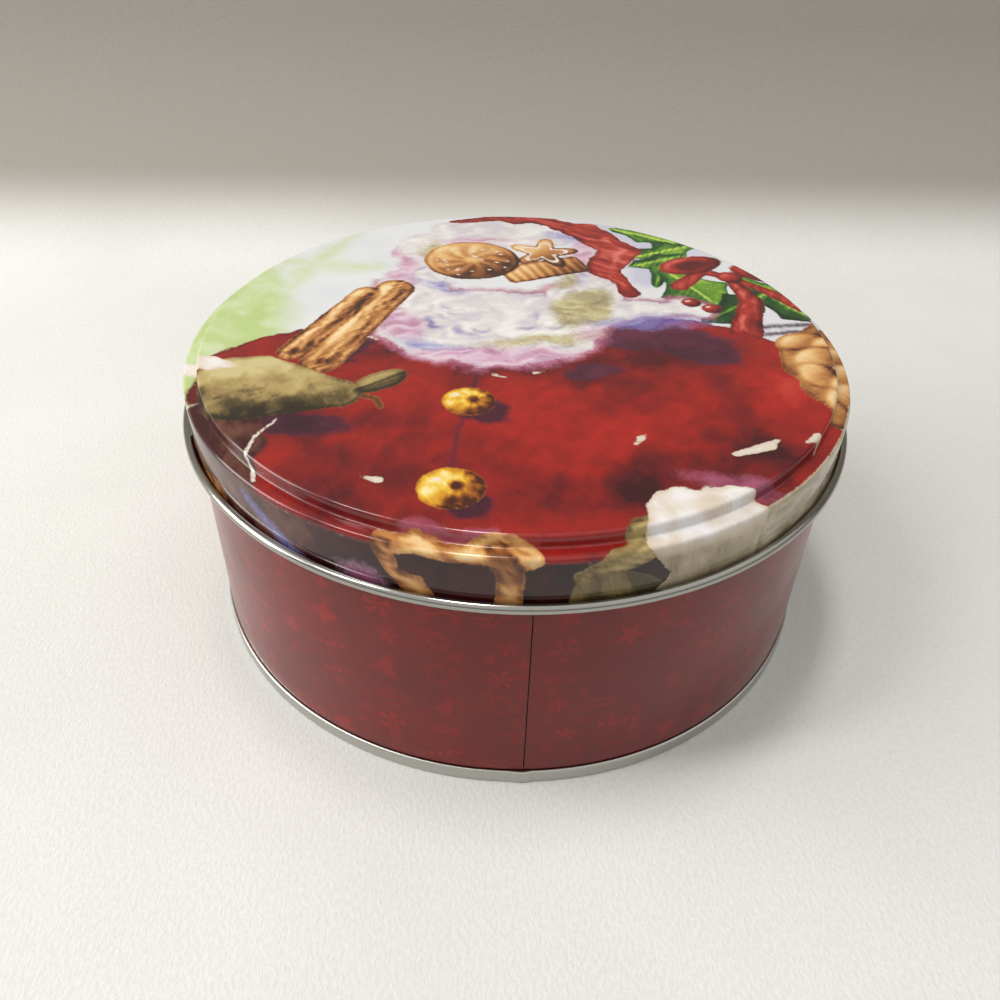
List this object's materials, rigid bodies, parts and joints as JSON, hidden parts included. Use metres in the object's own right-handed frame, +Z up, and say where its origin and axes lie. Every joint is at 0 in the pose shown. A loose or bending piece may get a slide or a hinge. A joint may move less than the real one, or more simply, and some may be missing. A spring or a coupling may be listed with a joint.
{
  "type": "round cookie tin with lift-off lid",
  "caption": "Round shallow storage tin with a stepped lift-off lid, curled lid rim, lock-seamed printed wall and a double-seamed base ring.",
  "frame": {"origin": "centre of the ring face the tin stands on, at the foot of the double seam", "axes": "+Z up along the axis of the tin, side seam of the wall towards -Y"},
  "size_m": [0.2006, 0.2006, 0.0869],
  "materials": {
    "lid_print": "glossy varnished full-colour print on tinplate, bare bright tin on the curled rim and inside",
    "wall_print": "glossy varnished dark red print with tone-on-tone pattern, bare tin inside",
    "bare_tinplate": "satin bright tinplate, fine rolling grain"
  },
  "bodies": {
    "can": {"body_wall": "wall_print", "bottom_end": "bare_tinplate"},
    "lid": {"lid": "lid_print"}
  },
  "joints": [
    {"name": "lid_lift", "type": "slide", "parent": "can", "child": "lid", "axis": [0, 0, 1], "range_m": [0, 0.1]}
  ]
}
